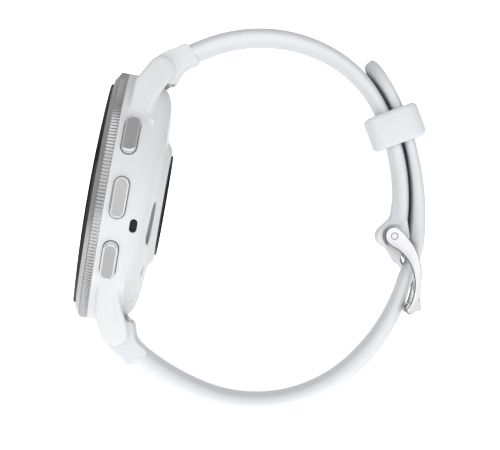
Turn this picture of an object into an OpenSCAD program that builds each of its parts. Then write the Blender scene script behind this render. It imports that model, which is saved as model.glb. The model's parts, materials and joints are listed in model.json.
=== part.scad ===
// GPS running watch: round steel-bezel case, three side buttons, buckled silicone strap.
// Row frame: X from dial to buckle, Y across the strap, Z up. The watch stands on its strap loop.
// Case frame: x towards 3 o'clock, y towards 12 o'clock, z out of the dial, origin on the dial's
// axis in the parting plane between bezel and case.

/* [Case] */
// Radius of the case and of the bezel
case_r = 22.5; // [20:0.5:25]
// Height of the white case band
case_h = 5; // [4.8:0.1:5.2]
// Inner radius of the case band
cavity_r = 20.9; // [20.7:0.1:21]
// Lean of the dial back from upright, in degrees
dial_lean = 10; // [8:1:12]
// Place of the case along X
case_x = -25.67; // [-26:0.01:-25]
// Height of the case's centre
case_z = 39.2; // [39:0.1:39.5]

/* [Bezel and glass] */
// Height of the knurled band
knurl_h = 1.5; // [1:0.1:2]
// Height of the bezel's inner rim
rim_z = 2.58; // [2.3:0.02:2.8]
// Radius of the bezel's inner rim
rim_r = 21.1; // [20.8:0.1:21.4]
// Radius of the cover glass
glass_r = 20.1; // [19.8:0.1:20.2]
// Height of the glass edge
glass_edge_z = 2.96; // [2.8:0.02:3.1]
// Height of the glass at its centre
glass_top_z = 3.75; // [3.5:0.05:3.9]
// Height of the seat that the glass is bonded to
seat_z = 1.2; // [1:0.1:1.3]

/* [Back cover] */
// Outer radius of the sensor foot
foot_r = 11.2; // [10.8:0.1:11.5]
// Radius of the sensor window
window_r = 9.2; // [8.8:0.1:9.4]
// Height of the sensor window's face
window_z = -10.33; // [-10.5:0.01:-10.2]

/* [Lugs and spring bars] */
// Half the clear width between the lugs
lug_gap = 11.1; // [11:0.05:11.3]
// Distance of the spring bars from the case's centre
bar_v = 24.4; // [24:0.1:24.6]
// Height of the spring bars
bar_z = -5.8; // [-6:0.1:-5.6]
// Outer radius of a spring bar's tube
tube_r = 0.9; // [0.8:0.05:1]
// Radius of a spring bar's end pins
pin_r = 0.4; // [0.35:0.05:0.45]
// Travel of a quick-release pin
release_travel = 1.3; // [1.2:0.05:1.4]

/* [Buttons] */
// Length of a button's cap
cap_l = 7.5; // [7:0.1:8]
// Width of a button's cap
cap_w = 2.75; // [2.5:0.05:3]
// Distance that a button stands out of the case
cap_proud = 1.0; // [0.8:0.05:1.2]
// Travel of a button
press = 0.4; // [0.3:0.05:0.45]
// Height of the buttons' centres
cap_z = -2.55; // [-2.6:0.05:-2.5]
// Angle between neighbouring buttons
cap_pitch = 30; // [28:1:32]

/* [Strap] */
// Half the strap's width at the lugs
wide = 10.9; // [10.8:0.05:10.95]
// Half the strap's width at the buckle
narrow = 10; // [9.8:0.1:10.1]
// Distance by which each face's edge recedes from its middle
crown = 0.8; // [0.5:0.05:0.9]
// Length of an adjusting hole
hole_l = 5; // [4.8:0.1:5.2]
// Width of an adjusting hole
hole_w = 2.4; // [2.3:0.1:2.6]
// Distance between adjusting holes
hole_pitch = 7; // [6.5:0.5:7.5]
// Number of adjusting holes
hole_count = 8; // [6:1:9]

/* [Buckle and keeper] */
// Place of the buckle's hinge along X
hinge_x = 25.98; // [25.9:0.01:26.1]
// Height of the buckle's hinge
hinge_z = 31.85; // [31.7:0.05:32]
// Radius of the strap's knuckle around the hinge
knuckle_r = 2.9; // [2.7:0.05:3]
// Radius of the buckle bar
buckle_bar_r = 0.6; // [0.5:0.05:0.6]
// Inner half width of the buckle frame
frame_in = 10.45; // [10.4:0.05:10.6]
// Outer half width of the buckle frame
frame_out = 12.2; // [12:0.1:12.4]
// Size of the keeper across the strap's layers
keeper_x = 9.7; // [9.4:0.1:9.8]
// Length of the keeper along the strap
keeper_z = 6.2; // [5.8:0.1:6.4]
// Outer half width of the keeper
keeper_y = 12.1; // [12:0.1:12.5]
// Lean of the keeper, in degrees
keeper_lean = 20; // [18:1:22]

/* [Hidden] */
$fn = 64;
eps = 0.02;                 // overlap that joins two pieces of one solid
fit = 0.05;                 // radial running clearance of a pin in a bore
gap = 0.35;                 // clearance between the strap and the case
side_shift = cap_proud / 2; // puts the middle of the whole watch on Y = 0
lever_turn = -150;          // direction from a spring bar to its quick-release lever
stem_r = 0.75;              // radius of a button's stem
pocket_floor = 20.9;        // floor of the pocket that a cap sinks into
wall_in = 19.4;             // inner face of the wall behind the buttons
cap_base = 21.55;           // inner face of a cap
cap_face = case_r + cap_proud;
stem_end = 18.1;            // inner end of a stem
switch_face = stem_end - press - 0.1;
screw_r = 17.2;             // circle of the back screws
port_x = 15.2;              // charging port's place, width and length
port_v = -3.6;
port_w = 5.2;
port_l = 8;
mic_v = -4.57;              // microphone hole's place
mic_z = -5.8;
lever_x = 5.6;              // lever's place along the spring bar
pierced_s = 68.2;           // length along the lower strap to the hole that the tongue is in
keeper_at = [26.49, 51.66]; // middle of the keeper
keeper_in = 6;              // inner size of the keeper across the strap's layers
keeper_off = -0.2;          // offset of the keeper's outside from the middle of its opening
cheek_y = 11.4;             // outer half width of the cheeks around the buckle's bosses
end_bar = [28.98, 18.75];   // centre of the buckle's end bar
end_bar_r = 0.95;
// the tongue leaves its ring, passes through the lower strap and rests over the end bar
tongue_path = [[hinge_x + 0.25, hinge_z - 0.95], [27.26, 26.91], [30.04, 23.49], [30.62, 18.2]];

// ---------- frames ----------

module watch() translate([0, side_shift, 0]) children();

module on_case() watch() translate([case_x, 0, case_z])
    rotate([0, dial_lean, 0]) rotate([90, 0, -90]) children();

// side 1 is the 12 o'clock end and side -1 the 6 o'clock end
module at_end(side) {
    if (side > 0) children();
    else mirror([0, 1, 0]) children();
}

// x runs along the spring bar
module at_bar(side) on_case() at_end(side) translate([0, bar_v, bar_z]) children();

// z runs out of the case along the button's own axis, x towards the back cover
module at_button(i) rotate([0, 0, i * cap_pitch]) translate([0, 0, cap_z]) rotate([0, 90, 0]) children();

// z runs across the strap, x and y are the row's X and Z
module across(half) rotate([90, 0, 0]) translate([0, 0, -half]) linear_extrude(2 * half) children();

// ---------- shared shapes ----------

module disc(r, z0, z1) translate([0, 0, z0]) cylinder(r = r, h = z1 - z0);

module ring(r0, r1, z0, z1) rotate_extrude($fn = 96) translate([r0, z0]) square([r1 - r0, z1 - z0]);

module pill(l, w, h) linear_extrude(h) {
    square([w, l - w], center = true);
    for (s = [-1, 1]) translate([0, s * (l - w) / 2]) circle(w / 2);
}

// a pill whose top edge is bevelled by c
module bevelled_pill(l, w, h, c) {
    pill(l, w, h - c);
    translate([0, 0, h - c]) {
        for (s = [-1, 1]) translate([0, s * (l - w) / 2, 0]) cylinder(r1 = w / 2, r2 = w / 2 - c, h = c);
        rotate([90, 0, 0]) linear_extrude(l - w, center = true)
            polygon([[-w / 2, 0], [w / 2, 0], [w / 2 - c, c], [c - w / 2, c]]);
    }
}

module rounded_rect(w, h, r) {
    square([w - 2 * r, h], center = true);
    square([w, h - 2 * r], center = true);
    for (sx = [-1, 1], sy = [-1, 1]) translate([sx * (w / 2 - r), sy * (h / 2 - r)]) circle(r);
}

// closed surface through rings of equally many points
module skin(rings) {
    m = len(rings[0]);
    n = len(rings);
    polyhedron(
        points = [for (r = rings) each r],
        faces = concat(
            [[for (j = [m - 1:-1:0]) j]],
            [for (i = [0:n - 2], j = [0:m - 1]) let (a = i * m, b = a + m, k = (j + 1) % m)
                [a + j, a + k, b + k, b + j]],
            [[for (j = [0:m - 1]) (n - 1) * m + j]]
        ),
        convexity = 6
    );
}

// compression spring along z
module coil(r, wire, h, turns) {
    step = 30;
    sides = 5;
    skin([for (a = [0:step:360 * turns]) let (z = h * a / (360 * turns))
        [for (j = [0:sides - 1]) let (b = 360 * j / sides, q = r + wire * cos(b))
            [q * cos(a), q * sin(a), z + wire * sin(b)]]]);
}

// ---------- strap path ----------

// A path is a start point, a heading and arcs of [radius, turn, steps]. A station is [x, z, heading, length].
function trace(p, h, s, arcs, i = 0) = i == len(arcs) ? [] :
    let (
        r = arcs[i][0], turn = arcs[i][1], n = arcs[i][2], k = sign(turn),
        c = p + k * r * [-sin(h), cos(h)],
        own = [for (j = [1:n]) let (a = h + turn * j / n)
            [c[0] + k * r * sin(a), c[1] - k * r * cos(a), a, s + r * abs(turn) * PI / 180 * j / n]]
    )
    concat(own, trace([own[n - 1][0], own[n - 1][1]], h + turn, own[n - 1][3], arcs, i + 1));

function place_on(path, s) = [
    for (i = [0:2]) lookup(s, [for (q = path) [q[3], q[i]]])
];

// row X and Z of a point of the case frame
function case_point(v, z) = [
    case_x + v * sin(dial_lean) - z * cos(dial_lean),
    case_z + v * cos(dial_lean) + z * sin(dial_lean)
];

top_start = case_point(bar_v, bar_z);
top_path = concat([[top_start[0], top_start[1], 29.7, 0]],
    trace(top_start, 29.7, 0, [[60.4, -8.5, 4], [26.3, -47.3, 10], [22.6, -36.3, 8], [35.9, -37.9, 10]]));

bottom_start = case_point(-bar_v, bar_z);
bottom_path = concat([[bottom_start[0], bottom_start[1], -46.6, 0]],
    trace(bottom_start, -46.6, 0, [[43.5, 25, 7], [26.2, 65, 13], [32.5, 29, 7], [46.6, -6.5, 2],
        [12.2, 20, 4], [50.3, 28.6, 9], [34.6, 14.3, 9]]));
bottom_end = bottom_path[len(bottom_path) - 1][3];
tip_l = 8;

// strap thickness and half width against length from the spring bar
top_thick = [[0, 4.2], [6, 3.7], [12, 3.6], [24, 3.5], [45, 2.8], [70, 2.7]];
top_half = [[0, wide], [45, narrow + 0.05], [70, narrow]];
bottom_thick = [[0, 4.2], [6, 3.7], [40, 3.55], [50, 3.45], [60, 2.95], [67, 2.65], [74, 2.35], [100, 2.35]];
bottom_half = [[0, wide], [50, narrow + 0.05], [120, narrow]];

function tip_scale(s, end) = s < end - tip_l ? 1 : sqrt(1 - pow(0.985 * (s - end + tip_l) / tip_l, 2));

// lens-shaped cross-section: flat middle, faces that fall away to the edges, ridge along each side
function strap_ring(q, half, thick) = let (
        across_f = [-0.965, -0.75, -0.4, 0, 0.4, 0.75, 0.965],
        face = [for (f = across_f) [f, thick / 2 - crown * pow(abs(f), 3)]],
        back = [for (i = [6:-1:0]) [face[i][0], -face[i][1]]],
        outline = concat([[-1, 0]], face, [[1, 0]], back)
    )
    [for (o = outline) [q[0] - sin(q[2]) * o[1], half * o[0], q[1] + cos(q[2]) * o[1]]];

module strap_band(path, thick, half, from, end) skin([
    for (q = path) if (q[3] >= from)
        strap_ring(q, lookup(q[3], half) * tip_scale(q[3], end), lookup(q[3], thick))
]);

// room that the case and back cover take, with clearance
module case_room() rotate_extrude($fn = 96) polygon([
    [0, 1], [case_r + gap, 1], [case_r + gap, -case_h - 0.1],
    [20.7, -7.7], [19.3, -8.55], [17.4, -9], [0, -9.5]
]);

// the strap's thick end between the lugs, shaped to the case
module strap_end() difference() {
    rotate([90, 0, 90]) linear_extrude(2 * wide, center = true) polygon([
        [21.7, -6.5], [21.9, -8.35], [23.9, -9.1], [25, -9.9], [26.5, -11.65],
        [29.3, -9.3], [27.3, -5.8], [26.3, -4.6], [24.9, -3.95], [23.4, -4.05], [22.4, -5]
    ]);
    case_room();
}

// bore for the spring bar and window for its lever
module strap_end_cuts() {
    translate([-wide - 1, bar_v, bar_z]) rotate([0, 90, 0]) cylinder(r = tube_r, h = 2 * wide + 2);
    translate([0, bar_v, bar_z]) rotate([lever_turn, 0, 0])
        translate([lever_x - release_travel - 1.2, 0, -1.2]) cube([release_travel + 2.4, 6, 2.4]);
}

// ---------- case ----------

module lug() intersection() {
    rotate([90, 0, 90]) linear_extrude(40, center = true) polygon([
        [14, -1.95], [22.3, -1.95], [23.5, -2.85], [24.9, -3.5], [25.9, -4.3], [26.45, -5.3], [26.35, -6.1],
        [25.9, -6.9], [25, -7.76], [24.1, -8], [22.9, -7.65], [21.5, -7.1], [20.2, -6.4], [18.2, -5.57],
        [16.4, -5.05], [14, -5]
    ]);
    translate([0, 0, -20]) linear_extrude(30) polygon([
        [lug_gap, 14], [lug_gap, 27], [13.4, 27], [14.5, 24.5], [15.6, 20], [16.4, 14]
    ]);
}

module case_body() color("#f2f2ef") on_case() difference() {
    union() {
        difference() {
            union() {
                rotate_extrude($fn = 128) polygon([
                    [15, -case_h], [case_r, -case_h], [case_r, -0.12], [case_r - 0.12, 0], [15, 0]
                ]);
                for (sx = [0, 1], sy = [0, 1]) mirror([sx, 0, 0]) mirror([0, sy, 0]) lug();
            }
            disc(cavity_r, -20, 5);
        }
        // thick wall behind each button
        intersection() {
            for (i = [-1:1]) at_button(i) translate([-1.7, -4.2, wall_in]) cube([3.05, 8.4, 3]);
            ring(16, cavity_r + eps, -case_h, -1.25);
        }
        // ears that the back screws thread into
        for (a = [45:90:315]) rotate([0, 0, a]) translate([screw_r - 1.4, -1.5, -3.95])
            cube([cavity_r - screw_r + 1.5, 3, 2.35]);
    }
    // the lugs' roots are cut to the back cover
    rotate_extrude($fn = 96) polygon([[0, -case_h], [case_r, -case_h], [20.4, -7.6], [0, -9]]);
    for (i = [-1:1]) at_button(i) {
        translate([0, 0, pocket_floor]) pill(cap_l + 0.3, cap_w + 0.3, 4);
        cylinder(r = stem_r + fit, h = 30);
    }
    for (a = [45:90:315]) rotate([0, 0, a]) translate([screw_r, 0, -5]) cylinder(r = 0.6, h = 3.2);
    for (s = [0, 1]) mirror([0, s, 0]) translate([-12.5, bar_v, bar_z]) rotate([0, 90, 0])
        cylinder(r = pin_r + fit, h = 25);
}

module bezel() color("silver") on_case() rotate_extrude($fn = 128) polygon([
    [18.9, -1.2], [cavity_r - 0.05, -1.2], [cavity_r - 0.05, -0.9], [20.2, -0.9], [20.2, -0.35],
    [cavity_r - 0.05, -0.35], [cavity_r - 0.05, 0], [case_r - 0.15, 0], [case_r, 0.15], [case_r, knurl_h],
    [rim_r, rim_z], [glass_r + 0.15, rim_z], [glass_r + 0.15, seat_z], [18.9, seat_z]
]);

module glass() color("#101214") on_case() rotate_extrude($fn = 96) polygon(concat(
    [[0, seat_z + 0.15], [glass_r, seat_z + 0.15], [glass_r, glass_edge_z]],
    [for (i = [1:10]) let (f = 1 - i / 10)
        [glass_r * f, glass_top_z - (glass_top_z - glass_edge_z) * f * f]]
));

module glass_gasket() color("dimgray") on_case() ring(19, glass_r, seat_z, seat_z + 0.15);

module display() color("#1b2630") on_case() disc(18.3, -0.1, 1.35);

module bezel_gasket() color("black") on_case() ring(20.22, cavity_r - 0.02, -0.9, -0.35);

module gps_antenna() color("goldenrod") on_case() difference() {
    ring(18.4, 18.8, -1.15, 1.1);
    translate([-1, 15, -3]) cube([2, 10, 5]);
}

module main_board() color("darkgreen") on_case() {
    disc(18.3, -1.2, -0.5);
    // processor, radio and memory
    for (c = [[-9, 4, 6], [3, 6, 4.5], [6, -8, 5]]) translate([c[0], c[1], -0.52]) cube([c[2], c[2], 0.4]);
}

module inner_frame() color("#303236") on_case() difference() {
    disc(20.5, -6.4, -1.56);
    // room for the battery
    translate([-13.3, -10.3, -5.3]) cube([22.6, 20.6, 5]);
    // flat side towards the buttons
    for (i = [-1:1]) rotate([0, 0, i * cap_pitch]) translate([15.4, -12, -8]) cube([10, 24, 8]);
    for (a = [45:90:315]) rotate([0, 0, a]) translate([screw_r - 1.8, -1.9, -8]) cube([8, 3.8, 8]);
    // clearance for the back cover's shoulder
    ring(19, 22, -8, -3.9);
}

module battery() color("#8d949c") on_case() translate([-13, -10, -5.2]) cube([22, 20, 3.6]);

module back_cover() color("#f4f4f2") on_case() difference() {
    union() {
        rotate_extrude($fn = 128) polygon([
            [window_r + 0.1, window_z + 0.3], [10.1, window_z + 0.3], [foot_r, -9.15], [13.7, -8.96],
            [17.3, -8.6], [19.1, -8.2], [20.3, -7.45], [22.4, -case_h], [cavity_r - 0.05, -case_h],
            [cavity_r - 0.05, -4.65], [20.3, -4.65], [20.3, -4.3], [cavity_r - 0.05, -4.3],
            [cavity_r - 0.05, -4], [19.2, -4], [19.2, -6.3], [18.3, -7.1], [16.8, -7.5], [13.5, -7.8],
            [8.2, -8.1], [8.2, -9.5], [window_r + 0.1, -9.5]
        ]);
        // columns around the screws
        for (a = [45:90:315]) rotate([0, 0, a]) translate([screw_r, 0, -7.9]) cylinder(r = 1.6, h = 3.85);
    }
    for (a = [45:90:315]) rotate([0, 0, a]) translate([screw_r, 0, 0]) {
        disc(1.2, -12, -7.75);
        disc(0.6, -12, -3);
    }
    // charging recess
    translate([port_x, port_v, -9.5]) linear_extrude(3) rounded_rect(port_w, port_l, 2.2);
    // microphone hole
    translate([0, mic_v, mic_z]) rotate([0, 90, 0]) translate([0, 0, 15]) pill(2.3, 1.2, 10);
    // two barometer holes and the channels that open them to the inside
    for (p = [[8.7, -17.9], [9.3, -16.9]]) {
        translate([p[0], p[1], -10]) cylinder(r = 0.3, h = 3.6);
        rotate([0, 0, atan2(p[1], p[0])]) translate([17.4, -0.2, -6.9]) cube([norm(p) - 17.4, 0.4, 0.3]);
    }
}

module back_gasket() color("black") on_case() ring(20.32, cavity_r - 0.02, -4.65, -4.3);

module back_screws() color("silver") on_case() for (a = [45:90:315])
    rotate([0, 0, a]) translate([screw_r, 0, 0]) difference() {
        union() {
            disc(1.1, -8.4, -7.75);
            disc(0.6, -7.8, -2.2);
        }
        translate([0, 0, -8.6]) cylinder(r = 0.55, h = 0.6, $fn = 6);
    }

module sensor_window() color("#0d0d10") on_case() rotate_extrude($fn = 96) polygon([
    [0, window_z], [window_r - 0.3, window_z], [window_r, window_z + 0.25], [window_r, -9.5], [0, -9.5]
]);

module sensor_board() color("darkgreen") on_case() disc(7.9, -8.9, -8.2);

module sensor_leds() color("limegreen") on_case() {
    for (a = [90, 210, 330]) rotate([0, 0, a]) translate([1.6, -0.8, -9.45]) cube([1.6, 1.6, 0.55]);
    for (a = [30, 150, 270]) rotate([0, 0, a]) translate([4.2, -1.2, -9.4]) cube([2.4, 2.4, 0.5]);
}

module charge_port() color("#9b9da0") on_case() translate([port_x, port_v, -8]) linear_extrude(0.9)
    rounded_rect(port_w, port_l, 2.2);

module charge_contacts() color("gold") on_case() for (i = [-1.5:1:1.5])
    translate([port_x, port_v + 1.9 * i, -8.15]) cylinder(r = 0.55, h = 0.15);

module vibration_motor() color("silver") on_case() translate([-12.8, -5, -7.05]) {
    rotate([-90, 0, 0]) cylinder(r = 0.6, h = 2);
    translate([-0.9, 1.8, -0.65]) cube([2.6, 6, 1.3]);
}

module beeper() color("goldenrod") on_case() translate([0, 13.2, 0]) disc(3.4, -7.3, -6.6);

module microphone() color("silver") on_case() translate([16.5, mic_v - 1.2, mic_z - 0.5])
    cube([1.5, 2.4, 1.3]);

module vent_membrane() color("whitesmoke") on_case() translate([8.1, -15, 0]) disc(1, -7.1, -6.9);

// ---------- buttons ----------

module push_button(i) color("#c9cbcc") on_case() at_button(i) difference() {
    union() {
        translate([0, 0, cap_base]) bevelled_pill(cap_l, cap_w, cap_face - cap_base, 0.35);
        translate([0, 0, stem_end]) cylinder(r = stem_r, h = cap_base - stem_end + 0.3);
    }
    // pocket for the return spring
    difference() {
        translate([0, 0, cap_base - 1]) cylinder(r = 1.2, h = 1.6);
        cylinder(r = stem_r, h = 40);
    }
    // grooves for the O-ring and the retaining clip
    for (g = [[20.1, 0.4, 0.55], [18.95, 0.25, 0.5]]) translate([0, 0, g[0]]) difference() {
        cylinder(r = 2, h = g[1]);
        cylinder(r = g[2], h = g[1]);
    }
}

module oring(i) color("black") on_case() at_button(i) ring(0.55, stem_r + fit / 2, 20.1, 20.5);

module clip(i) color("silver") on_case() at_button(i) difference() {
    ring(0.5, 1.25, 18.95, 19.2);
    translate([-0.35, 0, 18]) cube([0.7, 2, 2]);
}

module return_spring(i) color("silver") on_case() at_button(i) translate([0, 0, pocket_floor + 0.11])
    coil(0.98, 0.1, cap_base + 0.6 - pocket_floor - 0.22, 3);

module switches() color("#d8d8d0") on_case() for (i = [-1:1])
    at_button(i) translate([0, 0, switch_face - 0.9]) {
        translate([-1.2, -1.6, 0]) cube([2.4, 3.2, 0.6]);
        cylinder(r = 0.8, h = 0.9);
    }

module switch_flex() color("#b8742a") on_case() {
    for (i = [-1:1]) at_button(i) translate([-1.1, -2, switch_face - 1.1]) cube([2.4, 4, 0.2]);
    intersection() {
        ring(16.2, 16.6, -3.7, -2.9);
        linear_extrude(12, center = true) polygon([[0, 0], [20, 11], [20, -11]]);
    }
}

// ---------- straps ----------

// cylinder along the buckle's hinge
module on_hinge(r, h) translate([hinge_x, 0, hinge_z]) rotate([90, 0, 0])
    cylinder(r = r, h = h, center = true);

module knuckle() translate([hinge_x, hinge_z]) circle(knuckle_r);

// thin lip from the knuckle down towards the lower strap
module lip() polygon([
    [24.2, 30], [25.1, 29.2], [25.8, 28.2], [26.3, 26.9], [26.9, 27.1], [27.5, 29.6], [27, 31]
]);

// cheeks that stand around the buckle's bosses
module cheeks() for (s = [-1, 1]) translate([0, s * (narrow + cheek_y) / 2, 0])
    across((cheek_y - narrow) / 2 + eps) difference() {
        knuckle();
        translate([hinge_x, hinge_z]) circle(2.15);
        // room for the arms
        translate([hinge_x, hinge_z]) polygon([[0, 0], [4, 7], [10, 7], [10, -8], [-4.6, -6.6]]);
    }

module strap_top() color("#eceeef") difference() {
    union() {
        watch() strap_band(top_path, top_thick, top_half, 2, 200);
        watch() across(narrow) {
            knuckle();
            lip();
        }
        watch() cheeks();
        on_case() strap_end();
    }
    on_case() strap_end_cuts();
    watch() {
        on_hinge(buckle_bar_r, 30);
        // slot that the tongue swings in
        on_hinge(1.45, 2.8);
        translate([hinge_x - 1.45, -1.4, hinge_z - 8]) cube([6, 2.8, 8]);
    }
}

module strap_bottom() color("#eceeef") difference() {
    union() {
        watch() strap_band(bottom_path, bottom_thick, bottom_half, 2, bottom_end);
        on_case() at_end(-1) strap_end();
    }
    on_case() at_end(-1) strap_end_cuts();
    watch() for (i = [0:hole_count - 1]) let (q = place_on(bottom_path, pierced_s + (i - 3) * hole_pitch))
        translate([q[0], 0, q[1]]) rotate([0, 90 - q[2], 0]) rotate([0, 90, 0]) translate([0, 0, -4])
            rotate([0, 0, 90]) pill(hole_l, hole_w, 8);
}

module bar_tube(side) color("silver") at_bar(side) difference() {
    rotate([0, 90, 0]) rotate_extrude($fn = 48) polygon([
        [tube_r - 0.35, -10.5], [tube_r, -10.5], [tube_r, 10.5],
        [pin_r + fit, 10.5], [pin_r + fit, 10], [tube_r - 0.35, 10]
    ]);
    // slot for the lever
    rotate([lever_turn, 0, 0]) translate([lever_x - release_travel - 0.55, 0, -0.5])
        cube([release_travel + 1.1, 2, 1]);
}

module bar_pin(side) color("silver") at_bar(side) rotate([0, 90, 0]) {
    translate([0, 0, -10.5]) cylinder(r = tube_r - 0.35, h = 1.5);
    translate([0, 0, -12.3]) cylinder(r = pin_r, h = 2);
}

module release_pin(side) color("silver") at_bar(side) {
    rotate([0, 90, 0]) {
        translate([0, 0, 4.6]) cylinder(r = 0.5, h = 5.2);
        translate([0, 0, 9.7]) cylinder(r = pin_r, h = 2.6);
    }
    translate([lever_x, 0, 0]) rotate([lever_turn - 90, 0, 0]) {
        cylinder(r = 0.4, h = 3.3);
        translate([0, 0, 3.15]) cylinder(r = 0.95, h = 0.7);
    }
}

module bar_spring(side) color("silver") at_bar(side) translate([-8.9, 0, 0]) rotate([0, 90, 0])
    coil(0.36, 0.1, 13.4, 9);

// ---------- keeper and buckle ----------

module keeper() color("#eceeef") watch() translate([keeper_at[0], 0, keeper_at[1]])
    rotate([0, -keeper_lean, 0]) difference() {
        across(keeper_y) translate([keeper_off, 0]) rounded_rect(keeper_x, keeper_z, 1);
        translate([-keeper_in / 2, -narrow - 0.35, -5]) cube([keeper_in, 2 * narrow + 0.7, 10]);
    }

// side view of an arm: curved blade between its boss on the hinge and its end bar
module arm_outline() {
    intersection() {
        difference() {
            translate([18.5, 24.6]) circle(12.15, $fn = 96);
            translate([20, 22.85]) circle(9.28, $fn = 96);
        }
        polygon([[25.4, 30.4], [27, 33.6], [34, 33.6], [34, 17.4], [28.6, 17.4], [28, 19], [26, 26]]);
    }
    translate([hinge_x, hinge_z]) circle(1.75);
    translate(end_bar) circle(end_bar_r);
}

module buckle_frame() color("silver") watch() difference() {
    union() {
        for (s = [-1, 1]) translate([0, s * (frame_in + frame_out) / 2, 0])
            across((frame_out - frame_in) / 2) arm_outline();
        across(frame_in + eps) translate(end_bar) circle(end_bar_r);
    }
    on_hinge(buckle_bar_r + fit, 30);
}

module buckle_bar() color("silver") watch() on_hinge(buckle_bar_r, 2 * frame_out);

// corner i of a line of half thickness r, on its left (side 1) or right (side -1), mitred
function mitred(line, i, r, side) = let (
        a = line[max(i - 1, 0)], b = line[i], c = line[min(i + 1, len(line) - 1)],
        u = i > 0 ? (b - a) / norm(b - a) : (c - b) / norm(c - b),
        w = i < len(line) - 1 ? (c - b) / norm(c - b) : u,
        m = [-u[1] - w[1], u[0] + w[0]]
    )
    b + side * r * m / (1 + u * w);

function thick_line(line, r) = concat(
    [for (i = [0:len(line) - 1]) mitred(line, i, r, 1)],
    [for (i = [len(line) - 1:-1:0]) mitred(line, i, r, -1)]
);

module buckle_tongue() color("silver") watch() difference() {
    union() {
        across(0.9) polygon(thick_line(tongue_path, 0.5));
        on_hinge(1.2, 2.2);
    }
    on_hinge(buckle_bar_r + fit, 30);
}

case_body();
bezel();
glass();
display();
glass_gasket();
bezel_gasket();
gps_antenna();
main_board();
inner_frame();
battery();
back_cover();
back_gasket();
back_screws();
sensor_window();
sensor_board();
sensor_leds();
charge_port();
charge_contacts();
vibration_motor();
beeper();
microphone();
vent_membrane();
switch_flex();
switches();
push_button(1);  // button_top
push_button(0);  // button_middle
push_button(-1);  // button_bottom
oring(1);  // oring_top
oring(0);  // oring_middle
oring(-1);  // oring_bottom
clip(1);  // clip_top
clip(0);  // clip_middle
clip(-1);  // clip_bottom
return_spring(1);  // spring_top
return_spring(0);  // spring_middle
return_spring(-1);  // spring_bottom
strap_top();
strap_bottom();
bar_tube(1);  // bar_tube_top
bar_tube(-1);  // bar_tube_bottom
bar_pin(1);  // bar_pin_top
bar_pin(-1);  // bar_pin_bottom
bar_spring(1);  // bar_spring_top
bar_spring(-1);  // bar_spring_bottom
release_pin(1);  // release_pin_top
release_pin(-1);  // release_pin_bottom
keeper();
buckle_frame();
buckle_tongue();
buckle_bar();
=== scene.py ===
"""Round GPS running watch on its buckled silicone strap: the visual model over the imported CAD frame.

Pieces are modelled in millimetres, in the case's own frame or in the row frame, and are then set down in
metres with their place in their mesh. The case frame has x towards 3 o'clock, y towards 12 o'clock and z
out of the dial, with its origin on the dial's axis where the bezel meets the case.
"""

import json
import logging
import math
from dataclasses import dataclass, field
from enum import Enum
from typing import Any, Callable, Dict, List, Sequence, Tuple

import bpy
from mathutils import Matrix, Vector


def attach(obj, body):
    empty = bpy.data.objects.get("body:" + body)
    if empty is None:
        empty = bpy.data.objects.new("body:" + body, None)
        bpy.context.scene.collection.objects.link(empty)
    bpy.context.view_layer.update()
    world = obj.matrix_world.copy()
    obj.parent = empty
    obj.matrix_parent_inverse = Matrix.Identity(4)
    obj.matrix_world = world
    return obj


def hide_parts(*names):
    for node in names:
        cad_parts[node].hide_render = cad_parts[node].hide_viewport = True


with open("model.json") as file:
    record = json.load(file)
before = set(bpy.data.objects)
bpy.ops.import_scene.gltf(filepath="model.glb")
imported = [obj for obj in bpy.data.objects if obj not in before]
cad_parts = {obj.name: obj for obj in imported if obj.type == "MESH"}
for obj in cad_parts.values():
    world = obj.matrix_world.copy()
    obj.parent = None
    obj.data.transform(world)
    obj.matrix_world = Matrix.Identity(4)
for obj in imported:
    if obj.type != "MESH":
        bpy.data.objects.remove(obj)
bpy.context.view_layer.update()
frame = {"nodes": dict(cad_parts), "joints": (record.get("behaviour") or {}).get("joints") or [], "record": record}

logging.basicConfig(level=logging.INFO, format="%(name)s: %(message)s")
LOG = logging.getLogger("watch")

MM = 0.001
Point = Tuple[float, float]
Colour = Tuple[float, float, float]


# ---------------------------------------------------------------------------------------------------
# Finishes
# ---------------------------------------------------------------------------------------------------


class Texture(Enum):
    """Surface detail that a finish has."""

    SMOOTH = "smooth"
    GRAIN = "grain"
    BRUSHED = "brushed"
    BOARD = "board"
    MESH = "mesh"


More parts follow.
